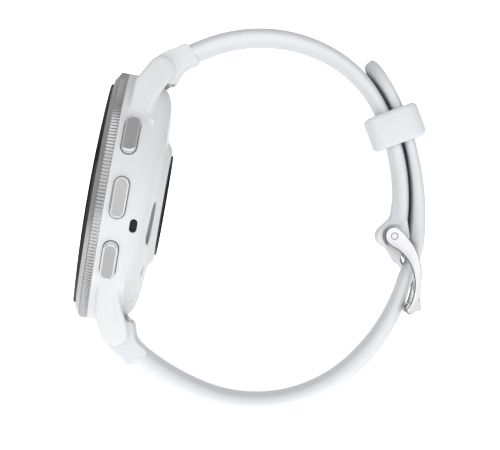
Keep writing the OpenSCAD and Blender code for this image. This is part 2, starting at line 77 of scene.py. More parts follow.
class Effects:
    """Shader node groups that several materials share."""

    @staticmethod
    def _new(name: str, inputs: Sequence[Tuple[str, float]]) -> Tuple[Any, Any, Any]:
        """Make an empty group that takes numbers and a colour and gives Colour, Roughness and Height.

        Args:
            name: name of the group.
            inputs: names and default values of its number inputs.

        Returns:
            The group, its input node and its output node.
        """
        group = bpy.data.node_groups.new(name, "ShaderNodeTree")
        group.interface.new_socket("Base", in_out="INPUT", socket_type="NodeSocketColor")
        for label, value in inputs:
            socket = group.interface.new_socket(label, in_out="INPUT", socket_type="NodeSocketFloat")
            socket.default_value = value
        group.interface.new_socket("Colour", in_out="OUTPUT", socket_type="NodeSocketColor")
        group.interface.new_socket("Roughness", in_out="OUTPUT", socket_type="NodeSocketFloat")
        group.interface.new_socket("Height", in_out="OUTPUT", socket_type="NodeSocketFloat")
        return group, group.nodes.new("NodeGroupInput"), group.nodes.new("NodeGroupOutput")

    @staticmethod
    def _noise(group: Any, scale: float, detail: float, stretch: Tuple[float, float, float] = (1, 1, 1)) -> Any:
        """Add noise over Object coordinates.

        Args:
            group: node tree that it goes in.
            scale: features per metre.
            detail: octaves of finer noise.
            stretch: scale along each axis.

        Returns:
            The noise node.
        """
        place = group.nodes.new("ShaderNodeTexCoord")
        mapping = group.nodes.new("ShaderNodeMapping")
        mapping.inputs["Scale"].default_value = stretch
        noise = group.nodes.new("ShaderNodeTexNoise")
        noise.inputs["Scale"].default_value = scale
        noise.inputs["Detail"].default_value = detail
        group.links.new(place.outputs["Object"], mapping.inputs["Vector"])
        group.links.new(mapping.outputs["Vector"], noise.inputs["Vector"])
        return noise

    @staticmethod
    def _maths(group: Any, operation: str, first: Any, second: Any) -> Any:
        """Join two values, each a socket or a number, and give the result's socket."""
        node = group.nodes.new("ShaderNodeMath")
        node.operation = operation
        for socket, value in zip(node.inputs, (first, second)):
            if isinstance(value, (int, float)):
                socket.default_value = value
            else:
                group.links.new(value, socket)
        return node.outputs[0]

    @classmethod
    def _finish(cls, group: Any, taken: Any, given: Any, fine: Any, broad: Any) -> None:
        """Wire fine noise to height and both noises to roughness and colour.

        Args:
            group: the group.
            taken: its input node.
            given: its output node.
            fine: socket of the fine pattern, 0 to 1.
            broad: socket of the broad handling marks, 0 to 1.
        """
        centred = cls._maths(group, "SUBTRACT", broad, 0.5)
        marks = cls._maths(group, "MULTIPLY", centred, taken.outputs["Spread"])
        fine_centred = cls._maths(group, "SUBTRACT", fine, 0.5)
        fine_marks = cls._maths(group, "MULTIPLY", fine_centred, taken.outputs["Spread"])
        both = cls._maths(group, "ADD", marks, fine_marks)
        rough = cls._maths(group, "ADD", taken.outputs["Roughness"], both)
        group.links.new(rough, given.inputs["Roughness"])
        group.links.new(cls._maths(group, "MULTIPLY", fine, taken.outputs["Depth"]), given.inputs["Height"])
        tint = group.nodes.new("ShaderNodeMix")
        tint.data_type = "RGBA"
        tint.blend_type = "MULTIPLY"
        shade = group.nodes.new("ShaderNodeMapRange")
        shade.inputs["To Min"].default_value = 0.94
        shade.inputs["To Max"].default_value = 1.0
        group.links.new(broad, shade.inputs["Value"])
        tint.inputs["Factor"].default_value = 1.0
        group.links.new(taken.outputs["Base"], tint.inputs["A"])
        group.links.new(shade.outputs["Result"], tint.inputs["B"])
        group.links.new(tint.outputs["Result"], given.inputs["Colour"])

    @classmethod
    def grain(cls) -> Any:
        """Moulded polymer and rubber: fine even grain, soft handling marks."""
        group, taken, given = cls._new("Moulded grain", (("Roughness", 0.5), ("Spread", 0.1), ("Depth", 1.0)))
        fine = cls._noise(group, 5200.0, 3.0)
        broad = cls._noise(group, 70.0, 2.0)
        cls._finish(group, taken, given, fine.outputs["Fac"], broad.outputs["Fac"])
        return group

    @classmethod
    def brushed(cls) -> Any:
        """Drawn steel: long fine lines along the row's Z axis."""
        group, taken, given = cls._new("Brushed lines", (("Roughness", 0.3), ("Spread", 0.2), ("Depth", 1.0)))
        fine = cls._noise(group, 6000.0, 2.0, (1.0, 1.0, 0.03))
        broad = cls._noise(group, 220.0, 2.0)
        cls._finish(group, taken, given, fine.outputs["Fac"], broad.outputs["Fac"])
        return group

    @classmethod
    def tracks(cls) -> Any:
        """Circuit board: blocky copper tracks under solder mask."""
        group, taken, given = cls._new("Board tracks", (("Roughness", 0.4), ("Spread", 0.1), ("Depth", 1.0)))
        place = group.nodes.new("ShaderNodeTexCoord")
        cells = group.nodes.new("ShaderNodeTexVoronoi")
        cells.distance = "CHEBYCHEV"
        cells.inputs["Scale"].default_value = 900.0
        group.links.new(place.outputs["Object"], cells.inputs["Vector"])
        step = group.nodes.new("ShaderNodeMath")
        step.operation = "GREATER_THAN"
        step.inputs[1].default_value = 0.35
        group.links.new(cells.outputs["Distance"], step.inputs[0])
        broad = cls._noise(group, 300.0, 1.0)
        cls._finish(group, taken, given, step.outputs[0], broad.outputs["Fac"])
        return group

    @classmethod
    def weave(cls) -> Any:
        """Fine woven acoustic mesh."""
        group, taken, given = cls._new("Acoustic mesh", (("Roughness", 0.7), ("Spread", 0.1), ("Depth", 1.0)))
        place = group.nodes.new("ShaderNodeTexCoord")
        waves = group.nodes.new("ShaderNodeTexWave")
        waves.inputs["Scale"].default_value = 2600.0
        group.links.new(place.outputs["Object"], waves.inputs["Vector"])
        broad = cls._noise(group, 300.0, 1.0)
        cls._finish(group, taken, given, waves.outputs["Fac"], broad.outputs["Fac"])
        return group


@dataclass(frozen=True)
class Finish:
    """One surface finish, built into a Principled material on first use."""

    name: str
    colour: Colour
    roughness: float
    texture: Texture = Texture.SMOOTH
    metallic: float = 0.0
    spread: float = 0.08
    depth: float = 0.4
    coat: float = 0.0
    sheen: float = 0.0
    specular: float = 0.5
    edge_fade: bool = False

    def material(self) -> Any:
        """Give the finish's material, making it the first time."""
        made = bpy.data.materials.get(self.name)
        if made:
            return made
        material = bpy.data.materials.new(self.name)
        material.use_nodes = True
        tree = material.node_tree
        shader = tree.nodes["Principled BSDF"]
        shader.inputs["Base Color"].default_value = (*self.colour, 1.0)
        shader.inputs["Roughness"].default_value = self.roughness
        shader.inputs["Metallic"].default_value = self.metallic
        shader.inputs["Coat Weight"].default_value = self.coat
        shader.inputs["Coat Roughness"].default_value = 0.08
        shader.inputs["Sheen Weight"].default_value = self.sheen
        shader.inputs["Specular IOR Level"].default_value = self.specular
        if self.edge_fade:
            self._fade(tree, shader)
        effect = tree.nodes.new("ShaderNodeGroup")
        effect.node_tree = self._group()
        effect.inputs["Base"].default_value = (*self.colour, 1.0)
        effect.inputs["Roughness"].default_value = self.roughness
        effect.inputs["Spread"].default_value = self.spread
        effect.inputs["Depth"].default_value = self.depth
        tree.links.new(effect.outputs["Colour"], shader.inputs["Base Color"])
        tree.links.new(effect.outputs["Roughness"], shader.inputs["Roughness"])
        if self.texture is not Texture.SMOOTH:
            bump = tree.nodes.new("ShaderNodeBump")
            bump.inputs["Strength"].default_value = 0.5
            bump.inputs["Distance"].default_value = 0.00002
            tree.links.new(effect.outputs["Height"], bump.inputs["Height"])
            tree.links.new(bump.outputs["Normal"], shader.inputs["Normal"])
        return material

    def _fade(self, tree: Any, shader: Any) -> None:
        """Thin the gloss out at glancing angles, as an anti-reflection coat does."""
        facing = tree.nodes.new("ShaderNodeLayerWeight")
        facing.inputs["Blend"].default_value = 0.5
        fade = tree.nodes.new("ShaderNodeMapRange")
        fade.inputs["From Min"].default_value = 0.55
        fade.inputs["From Max"].default_value = 0.9
        fade.inputs["To Min"].default_value = self.coat
        fade.inputs["To Max"].default_value = 0.0
        tree.links.new(facing.outputs["Facing"], fade.inputs["Value"])
        tree.links.new(fade.outputs["Result"], shader.inputs["Coat Weight"])

    def _group(self) -> Any:
        """Give the node group that the texture needs, making it the first time."""
        makers: Dict[Texture, Tuple[str, Callable[[], Any]]] = {
            Texture.SMOOTH: ("Moulded grain", Effects.grain),
            Texture.GRAIN: ("Moulded grain", Effects.grain),
            Texture.BRUSHED: ("Brushed lines", Effects.brushed),
            Texture.BOARD: ("Board tracks", Effects.tracks),
            Texture.MESH: ("Acoustic mesh", Effects.weave),
        }
        name, make = makers[self.texture]
        return bpy.data.node_groups.get(name) or make()


WHITE_CASE = Finish("white_polymer", (0.87, 0.875, 0.89), 0.42, Texture.GRAIN, spread=0.06, depth=0.25)
WHITE_COVER = Finish("white_cover", (0.86, 0.865, 0.885), 0.32, Texture.GRAIN, spread=0.06, depth=0.15, coat=0.2)
SILICONE = Finish("white_silicone", (0.85, 0.87, 0.895), 0.5, Texture.GRAIN, spread=0.08, depth=0.5, sheen=0.15)
POLISHED = Finish("polished_steel", (0.80, 0.80, 0.81), 0.16, Texture.BRUSHED, 1.0, spread=0.08, depth=0.12)
BEZEL_STEEL = Finish("machined_bezel", (0.52, 0.52, 0.525), 0.24, Texture.BRUSHED, 1.0, spread=0.1, depth=0.2)
BRUSHED_FACE = Finish("brushed_button_face", (0.5, 0.5, 0.505), 0.42, Texture.BRUSHED, 1.0, spread=0.16, depth=0.7)
BUCKLE_STEEL = Finish("polished_buckle", (0.72, 0.72, 0.73), 0.20, Texture.BRUSHED, 1.0, spread=0.08, depth=0.12)
# Darker copy of the buckle steel: painted shade on the frame's side and bevel faces.
BUCKLE_PAINTED_SHADE = Finish("buckle_painted_shade", (0.12, 0.12, 0.125), 0.30, Texture.BRUSHED, 1.0, spread=0.08, depth=0.12)
BLACK_GLASS = Finish("black_glass", (0.003, 0.003, 0.004), 0.07, Texture.SMOOTH, spread=0.04, coat=1.0, specular=0.0,
                     edge_fade=True)
# Near-black liner finish: a dark acoustic mesh plus painted shade deep in the holes.
HOLE_MESH_AND_SHADE = Finish("hole_mesh_and_painted_shade", (0.006, 0.006, 0.007), 0.7, Texture.MESH, depth=0.6)
PORT_GREY = Finish("port_polymer", (0.36, 0.37, 0.38), 0.45, Texture.GRAIN)

FINISHES: Dict[str, Finish] = {
    "case_white": WHITE_CASE,
    "cover_white": WHITE_COVER,
    "silicone_white": SILICONE,
    "bezel_steel": BEZEL_STEEL,
    "button_steel": POLISHED,
    "buckle_steel": BUCKLE_STEEL,
    "steel": Finish("plain_steel", (0.58, 0.58, 0.59), 0.3, Texture.BRUSHED, 1.0, spread=0.12),
    "glass_black": BLACK_GLASS,
    "sensor_black": Finish("sensor_glass", (0.006, 0.005, 0.008), 0.08, Texture.SMOOTH, coat=1.0, specular=0.0,
                           edge_fade=True),
    "display_dark": Finish("display", (0.01, 0.012, 0.016), 0.2, Texture.SMOOTH, coat=0.6),
    "rubber_black": Finish("black_rubber", (0.02, 0.02, 0.02), 0.7, Texture.GRAIN),
    "brass_gold": Finish("gold_plate", (0.75, 0.55, 0.22), 0.28, Texture.BRUSHED, 1.0),
    "board_green": Finish("solder_mask", (0.01, 0.09, 0.04), 0.35, Texture.BOARD, coat=0.3),
    "inner_plastic": Finish("inner_polymer", (0.03, 0.03, 0.033), 0.5, Texture.GRAIN),
    "battery_foil": Finish("battery_wrapper", (0.55, 0.56, 0.58), 0.35, Texture.GRAIN, 0.9, spread=0.2, depth=1.0),
    "port_grey": PORT_GREY,
    "membrane_white": Finish("membrane", (0.75, 0.75, 0.74), 0.8, Texture.MESH),
    "flex_amber": Finish("polyimide_film", (0.45, 0.20, 0.04), 0.3, Texture.BOARD, coat=0.4),
    "led_green": Finish("led_lens", (0.16, 0.60, 0.20), 0.15, Texture.SMOOTH, coat=0.8),
}


# ---------------------------------------------------------------------------------------------------
# Modelling bench
# ---------------------------------------------------------------------------------------------------


class Bench:
    """Modelling steps that the sub-assemblies share. Lengths are millimetres until settle()."""

    @staticmethod
    def clear() -> None:
        """Leave edit mode and deselect everything."""
        if bpy.context.object and bpy.context.object.mode != "OBJECT":
            bpy.ops.object.mode_set(mode="OBJECT")
        bpy.ops.object.select_all(action="DESELECT")

    @classmethod
    def take(cls, piece: Any) -> None:
        """Make one piece the only selected and the active one."""
        cls.clear()
        piece.select_set(True)
        bpy.context.view_layer.objects.active = piece

    @classmethod
    def edit(cls, piece: Any) -> None:
        """Open one piece in edit mode with all of it selected."""
        cls.take(piece)
        bpy.ops.object.mode_set(mode="EDIT")
        bpy.ops.mesh.select_all(action="SELECT")

    @classmethod
    def close(cls) -> None:
        """Merge doubles, turn the faces outwards and leave edit mode."""
        bpy.ops.mesh.select_all(action="SELECT")
        bpy.ops.mesh.remove_doubles(threshold=0.0005)
        bpy.ops.mesh.normals_make_consistent(inside=False)
        bpy.ops.object.mode_set(mode="OBJECT")

    @classmethod
    def lathe(cls, name: str, profile: Sequence[Point], steps: int) -> Any:
        """Spin a profile about the z axis.

        Args:
            name: name of the piece.
            profile: radius and height of each corner; a closed profile repeats its first corner.
            steps: columns around the axis.

        Returns:
            The piece.
        """
        cls.clear()
        bpy.ops.mesh.primitive_plane_add(size=1.0, location=(0, 0, 0))
        piece = bpy.context.object
        piece.name = name
        cls.edit(piece)
        bpy.ops.mesh.merge(type="CENTER")
        bpy.ops.transform.translate(value=(profile[0][0], 0, profile[0][1]))
        for here, there in zip(profile, profile[1:]):
            step = (there[0] - here[0], 0, there[1] - here[1])
            bpy.ops.mesh.extrude_vertices_move(TRANSFORM_OT_translate={"value": step})
        bpy.ops.mesh.select_all(action="SELECT")
        bpy.ops.mesh.spin(steps=steps, angle=math.tau, center=(0, 0, 0), axis=(0, 0, 1))
        cls.close()
        return piece

    @classmethod
    def slab(cls, name: str, outline: Sequence[Point], low: float, high: float) -> Any:
        """Extrude a flat outline along z.

        Args:
            name: name of the piece.
            outline: corners in order.
            low: height of the bottom face.
            high: height of the top face.

        Returns:
            The piece.
        """
        cls.clear()
        bpy.ops.mesh.primitive_circle_add(vertices=len(outline), radius=1.0, fill_type="NGON", location=(0, 0, 0))
        piece = bpy.context.object
        piece.name = name
        for vertex, corner in zip(piece.data.vertices, outline):
            vertex.co = (corner[0], corner[1], low)
        cls.edit(piece)
        bpy.ops.mesh.extrude_region_move(TRANSFORM_OT_translate={"value": (0, 0, high - low)})
        cls.close()
        return piece

    @classmethod
    def loft(cls, name: str, rings: Sequence[Sequence[Vector]]) -> Any:
        """Wrap a grid round a row of rings and close its ends.

        Args:
            name: name of the piece.
            rings: rings of equally many points, in order along the piece.

        Returns:
            The piece.
        """
        around = len(rings[0])
        along = len(rings) - 1
        cls.clear()
        bpy.ops.mesh.primitive_grid_add(x_subdivisions=around, y_subdivisions=along, size=2.0, location=(0, 0, 0))
        piece = bpy.context.object
        piece.name = name
        for vertex in piece.data.vertices:
            i = round((vertex.co.x + 1) / 2 * around)
            j = round((vertex.co.y + 1) / 2 * along)
            vertex.co = rings[j][i % around]
        cls.edit(piece)
        bpy.ops.mesh.remove_doubles(threshold=0.0005)
        bpy.ops.mesh.select_all(action="SELECT")
        bpy.ops.mesh.fill_holes(sides=0)
        cls.close()
        return piece

    @classmethod
    def modify(cls, piece: Any, kind: str, **settings: Any) -> Any:
        """Add a modifier and apply it.

        Args:
            piece: piece that it works on.
            kind: type of modifier.
            **settings: the modifier's own settings.

        Returns:
            The piece.
        """
        cls.take(piece)
        modifier = piece.modifiers.new(kind.lower(), kind)
        for key, value in settings.items():
            setattr(modifier, key, value)
        bpy.ops.object.modifier_apply(modifier=modifier.name)
        return piece

    @classmethod
    def join(cls, piece: Any, tool: Any, operation: str = "DIFFERENCE") -> Any:
        """Cut or add a tool, which is used up."""
        cls.modify(piece, "BOOLEAN", object=tool, operation=operation, solver="EXACT")
        bpy.data.objects.remove(tool)
        return piece

    @classmethod
    def bevel(cls, piece: Any, width: float, segments: int = 3, angle: float = 35.0) -> Any:
        """Round the edges sharper than an angle in degrees."""
        return cls.modify(
            piece, "BEVEL", width=width, segments=segments, limit_method="ANGLE",
            angle_limit=math.radians(angle), use_clamp_overlap=True,
        )

    @classmethod
    def turn(cls, piece: Any, matrix: Matrix) -> Any:
        """Move a piece and put the move into its mesh."""
        cls.take(piece)
        piece.matrix_world = matrix
        bpy.ops.object.transform_apply(location=True, rotation=True, scale=True)
        return piece

    @classmethod
    def mirror(cls, piece: Any, axis: int) -> Any:
        """Mirror a piece's mesh across one axis."""
        flip = Matrix.Identity(4)
        flip[axis][axis] = -1
        cls.turn(piece, flip)
        cls.edit(piece)
        cls.close()
        return piece

    @classmethod
    def copy(cls, piece: Any, name: str) -> Any:
        """Copy a piece with a mesh of its own."""
        cls.clear()
        twin = piece.copy()
        twin.data = piece.data.copy()
        twin.name = name
        bpy.context.scene.collection.objects.link(twin)
        return twin

    @classmethod
    def settle(
        cls, piece: Any, space: Matrix, body: str, slot: str, finishes: Sequence[Finish], nodes: Sequence[str],
        smooth: float = 32.0,
    ) -> Any:
        """Put a finished piece in the row frame, dress it and fix it to its body.

        Args:
            piece: the finished piece, in millimetres.
            space: matrix from its own frame to the row frame in metres.
            body: CAD body that it rides on.
            slot: material slot of the record; not used.
            finishes: its finishes, in the order of its material indices.
            nodes: CAD nodes that it stands for.
            smooth: angle in degrees up to which edges are shaded smooth.

        Returns:
            The piece.
        """
        cls.turn(piece, space)
        cls.take(piece)
        bpy.ops.object.shade_smooth_by_angle(angle=math.radians(smooth))
        for finish in finishes:
            piece.data.materials.append(finish.material())
        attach(piece, body)
        if nodes:
            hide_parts(*nodes)
        LOG.info("%s: %d faces on %s", piece.name, len(piece.data.polygons), body)
        return piece


def arc(centre: Point, radius: float, start: float, stop: float, steps: int) -> List[Point]:
    """Points of an arc.

    Args:
        centre: its centre.
        radius: its radius.
        start: first angle, in degrees.
        stop: last angle, in degrees.
        steps: number of chords.

    Returns:
        steps + 1 points.
    """
    angles = (math.radians(start + (stop - start) * i / steps) for i in range(steps + 1))
    return [(centre[0] + radius * math.cos(a), centre[1] + radius * math.sin(a)) for a in angles]


def pill(length: float, width: float, steps: int = 12) -> List[Point]:
    """Outline of a pill that is long in y."""
    reach = (length - width) / 2
    return arc((0, reach), width / 2, 0, 180, steps) + arc((0, -reach), width / 2, 180, 360, steps)


def rounded_rect(width: float, height: float, radius: float) -> List[Point]:
    """Outline of a rectangle with round corners, about the origin."""
    x, y = width / 2 - radius, height / 2 - radius
    corners = ((x, y, 0), (-x, y, 90), (-x, -y, 180), (x, -y, 270))
    return [point for cx, cy, a in corners for point in arc((cx, cy), radius, a, a + 90, 5)]


def smooth_outline(corners: Sequence[Point], steps: int) -> List[Point]:
    """Closed smooth curve through corners (uniform Catmull-Rom).

    Args:
        corners: points that the curve passes through.
        steps: points made for each corner.

    Returns:
        The curve's points.
    """
    made: List[Point] = []
    count = len(corners)
    for i in range(count):
        before, here, there, after = (corners[(i + k) % count] for k in (-1, 0, 1, 2))
        for j in range(steps):
            t = j / steps
            made.append(tuple(
                0.5 * (2 * p1 + (p2 - p0) * t + (2 * p0 - 5 * p1 + 4 * p2 - p3) * t * t
                       + (3 * p1 - p0 - 3 * p2 + p3) * t ** 3)
                for p0, p1, p2, p3 in zip(before, here, there, after)
            ))
    return made


def smooth_path(corners: Sequence[Point], steps: int) -> List[Point]:
    """Open smooth curve through corners, with its ends kept.

    Args:
        corners: points that the curve passes through.
        steps: points made for each span.

    Returns:
        The curve's points.
    """
    made: List[Point] = []
    padded = [corners[0], *corners, corners[-1]]
    for before, here, there, after in zip(padded, padded[1:], padded[2:], padded[3:]):
        for j in range(steps):
            t = j / steps
            made.append(tuple(
                0.5 * (2 * p1 + (p2 - p0) * t + (2 * p0 - 5 * p1 + 4 * p2 - p3) * t * t
                       + (3 * p1 - p0 - 3 * p2 + p3) * t ** 3)
                for p0, p1, p2, p3 in zip(before, here, there, after)
            ))
    return made + [tuple(corners[-1])]


def case_space() -> Matrix:
    """Matrix from the case frame in millimetres to the row frame in metres, from the sensor face's mount."""
    mount = next(m for m in frame["record"]["mounts"] if m["name"] == "sensor_face")
    outward = -Vector(mount["axis"]).normalized()
    centre = Vector(mount["pos_m"]) + outward * 10.33 * MM
    right = Vector((0, -1, 0))
    up = outward.cross(right)
    turn = Matrix((right, up, outward)).transposed().to_4x4()
    return Matrix.Translation(centre) @ turn @ Matrix.Scale(MM, 4)


def along_x(y: float, z: float) -> Matrix:
    """Matrix that lays a piece's own z along the case's x, through a place of its y and z."""
    return Matrix.Translation((0, y, z)) @ Matrix.Rotation(math.pi / 2, 4, "Y")


def along_y(x: float, z: float) -> Matrix:
    """Matrix that lays a piece's own z along the row's Y, through a place of its X and Z."""
    return Matrix.Translation((x, 0, z)) @ Matrix.Rotation(math.pi / 2, 4, "X")


def joint_place(name: str) -> Vector:
    """Place of a joint of the record, in millimetres of the row frame."""
    joint = next(j for j in frame["joints"] if j["name"] == name)
    return Vector(joint["pos_m"]) / MM


CASE = case_space()
SIDE_SHIFT = joint_place("buckle_swing").y
ROW = Matrix.Translation((0, SIDE_SHIFT * MM, 0)) @ Matrix.Scale(MM, 4)
# a slab's x, y and z become the case's y, z and x
SIDEWAYS = Matrix(((0, 0, 1, 0), (1, 0, 0, 0), (0, 1, 0, 0), (0, 0, 0, 1)))
# a slab's x, y and z become the row's X, Z and -Y
ACROSS = Matrix(((1, 0, 0, 0), (0, 0, -1, 0), (0, 1, 0, 0), (0, 0, 0, 1)))


# ---------------------------------------------------------------------------------------------------
# Case
# ---------------------------------------------------------------------------------------------------


@dataclass
class Buttons:
    """Three pill-shaped push buttons on the 3 o'clock side."""

    length: float = 7.5
    width: float = 2.75
    face: float = 23.5
    base: float = 21.55
    rim: float = 0.3
    height: float = -2.55
    pitch: float = 30.0
    pocket_gap: float = 0.14
    pocket_floor: float = 20.9
    names: Dict[str, int] = field(default_factory=lambda: {"top": 1, "middle": 0, "bottom": -1})

    def place(self, index: int) -> Matrix:
        """Matrix from a button's frame, z outwards along its axis, to the case frame."""
        spin = Matrix.Rotation(math.radians(index * self.pitch), 4, "Z")
        return spin @ Matrix.Translation((0, 0, self.height)) @ Matrix.Rotation(math.pi / 2, 4, "Y")

    def pocket(self, index: int) -> Any:
        """Cutter for one button's pocket in the case."""
        gap = 2 * self.pocket_gap
        cutter = Bench.slab("pocket", pill(self.length + gap, self.width + gap), self.pocket_floor, 30.0)
        return Bench.turn(cutter, self.place(index))

    def cap(self, name: str, index: int) -> Any:
        """Model one cap: bevelled rim, then a face set in by a fine step."""
        cap = Bench.slab(f"button_cap_{name}", pill(self.length, self.width, 16), self.base, self.face)
        Bench.edit(cap)
        self._select_face(cap, self.face)
        bpy.ops.mesh.bevel(offset=self.rim, segments=4, affect="EDGES")
        bpy.ops.object.mode_set(mode="OBJECT")
        Bench.edit(cap)
        self._select_face(cap, self.face)
        bpy.ops.mesh.inset(thickness=0.06, depth=-0.05)
        bpy.ops.object.mode_set(mode="OBJECT")
        inner = max(cap.data.polygons, key=lambda p: (p.center.z > self.face - 0.2) * p.area)
        for polygon in cap.data.polygons:
            polygon.material_index = int(polygon.index == inner.index)
        Bench.turn(cap, self.place(index))
        return Bench.settle(
            cap, CASE, f"push_{name}", "button_steel", (POLISHED, BRUSHED_FACE), (f"button_{name}",), smooth=28
        )

    @staticmethod
    def _select_face(cap: Any, height: float) -> None:
        """Select only the faces that lie flat at one height."""
        bpy.ops.mesh.select_all(action="DESELECT")
        bpy.ops.object.mode_set(mode="OBJECT")
        for polygon in cap.data.polygons:
            polygon.select = all(abs(cap.data.vertices[v].co.z - height) < 0.01 for v in polygon.vertices)
        bpy.ops.object.mode_set(mode="EDIT")

    def stem(self, name: str, index: int) -> Any:
        """Model one stem with its collar behind the cap."""
        profile = [(0, 18.1), (0.65, 18.1), (0.75, 18.2), (0.75, 18.95), (0.5, 18.95), (0.5, 19.2), (0.75, 19.2),
                   (0.75, 20.1), (0.55, 20.1), (0.55, 20.5), (0.75, 20.5), (0.75, 21.5), (0, 21.5)]
        stem = Bench.turn(Bench.lathe(f"button_stem_{name}", profile, 32), self.place(index))
        return Bench.settle(stem, CASE, f"push_{name}", "button_steel", (POLISHED,), ())

    def build(self) -> None:
        """Build all three buttons."""
        for name, index in self.names.items():
            self.cap(name, index)
            self.stem(name, index)


@dataclass
class Case:
    """Case with lugs, steel bezel, cover glass, back cover and sensor window."""

    radius: float = 22.5
    band: float = 5.0
    cavity: float = 20.9
    knurl: float = 1.5
    ridges: int = 216
    rim_r: float = 21.1
    rim_z: float = 2.58
    glass_r: float = 20.1
    glass_edge: float = 2.96
    glass_top: float = 3.75
    window_r: float = 9.2
    window_z: float = -10.33
    lug_gap: float = 11.1
    bar_v: float = 24.4
    bar_z: float = -5.8
    screw_r: float = 17.2
    mic_at: Point = (-4.57, -5.8)
    vents_at: Tuple[Point, ...] = ((8.7, -17.9), (9.3, -16.9))
    port_at: Point = (15.2, -3.6)
    lug_voxel: float = 0.24
    lug_smoothing: int = 14
    buttons: Buttons = field(default_factory=Buttons)

    def lug(self) -> Any:
        """Model the horn-shaped lug at 1 o'clock."""
        crown = [
            (13, -1.0), (21.4, -1.5), (23.5, -2.68), (24.95, -3.4), (25.98, -4.2), (26.55, -5.25),
            (26.45, -6.15), (26.0, -7.0), (25.05, -7.88), (24.1, -8.1), (22.9, -7.75), (21.5, -7.2),
            (20.2, -6.5), (18.2, -5.67), (16.4, -5.2), (13, -5.2)
        ]
        lug = Bench.turn(Bench.slab("lug", crown, self.lug_gap, self.lug_gap + 1), SIDEWAYS)
        for vertex in lug.data.vertices:
            if vertex.co.x > self.lug_gap + 0.5:
                vertex.co.x = 16.85 - 0.27 * (vertex.co.y - 14) - 0.012 * max(0.0, vertex.co.y - 18) ** 2
        return Bench.bevel(lug, 0.6, 4, 40)

    def body(self) -> Any:
        """Model the case band with its four lugs blended in."""
        profile = [(self.cavity - 1.4, -self.band - 1.2), (self.radius, -self.band - 1.2), (self.radius, 1.5),
                   (self.cavity - 1.4, 1.5), (self.cavity - 1.4, -self.band - 1.2)]
        body = Bench.lathe("case_shell", profile, 180)
        for sx in (False, True):
            for sy in (False, True):
                lug = self.lug()
                if sx:
                    Bench.mirror(lug, 0)
                if sy:
                    Bench.mirror(lug, 1)
                Bench.join(body, lug, "UNION")
        Bench.modify(body, "REMESH", mode="VOXEL", voxel_size=self.lug_voxel)
        Bench.modify(body, "SMOOTH", factor=0.5, iterations=self.lug_smoothing)
        bore = [(0, -20), (self.cavity, -20), (self.cavity, -0.02), (30, -0.02), (30, 5), (0, 5)]
        Bench.join(body, Bench.lathe("cavity", bore, 240))
        under = [(0, -self.band), (self.radius, -self.band), (20.4, -7.6), (0, -9)]
        Bench.join(body, Bench.lathe("cover_room", under, 240))
        for wide, deep, middle in ((60, 26.4, 0), (21.7, 60, 0), (13.1, 60, 23.45), (13.1, 60, -23.45)):
            Bench.join(body, Bench.turn(
                Bench.slab("below_band", rounded_rect(wide, deep, 0.01), -self.band - 4, -self.band),
                Matrix.Translation((middle, 0, 0))
            ))
        for index in self.buttons.names.values():
            Bench.join(body, self.buttons.pocket(index))
        for side in (-1, 1):
            hole = Bench.lathe("bar_hole", [(0, -12.5), (0.45, -12.5), (0.45, 12.5), (0, 12.5)], 24)
            Bench.join(body, Bench.turn(hole, along_x(side * self.bar_v, self.bar_z)))
        return Bench.settle(body, CASE, "case", "case_white", (WHITE_CASE,), ("case_body",), smooth=40)

    def bezel(self) -> Any:
        """Model the steel bezel: knurled band, conical bevel, seat and spigot."""
        outer, seat = self.radius, self.glass_r + 0.12
        profile = [
            (18.9, -1.2), (20.85, -1.2), (20.85, 0.0), (outer - 0.08, 0.0), (outer - 0.03, 0.03),
            (outer, 0.08), (outer, self.knurl - 0.1), (outer - 0.12, self.knurl),
            (outer - 0.22, self.knurl + 0.06), (self.rim_r + 0.12, self.rim_z - 0.3),
            (self.rim_r, self.rim_z - 0.2), (self.glass_r + 0.17, self.rim_z - 0.2),
            (seat, self.rim_z - 0.26), (seat, 1.2), (18.9, 1.2), (18.9, -1.2)
        ]
        bezel = Bench.lathe("bezel_ring", profile, 2 * self.ridges)
        column = math.tau / (2 * self.ridges)
        for vertex in bezel.data.vertices:
            radius = math.hypot(vertex.co.x, vertex.co.y)
            if radius > self.radius - 0.14 and vertex.co.z > 0.12:
                index = round(math.atan2(vertex.co.y, vertex.co.x) / column)
                if index % 2:
                    depth = 0.3
                    vertex.co.x *= (radius - depth) / radius
                    vertex.co.y *= (radius - depth) / radius
        return Bench.settle(bezel, CASE, "case", "bezel_steel", (BEZEL_STEEL,), ("bezel",), smooth=22)

    def glass(self) -> Any:
        """Model the domed cover glass with its rounded black edge."""
        rise = self.glass_top - self.glass_edge
        dome = [(self.glass_r * (1 - i / 16), self.glass_top - rise * (1 - i / 16) ** 2) for i in range(1, 17)]
        edge = arc((self.glass_r - 0.18, self.glass_edge - 0.18), 0.18, 0, 80, 5)
        profile = [(0, 1.35), (self.glass_r, 1.35)] + edge + dome
        glass = Bench.lathe("cover_glass", profile, 160)
        return Bench.settle(glass, CASE, "case", "glass_black", (BLACK_GLASS,), ("glass",), smooth=50)

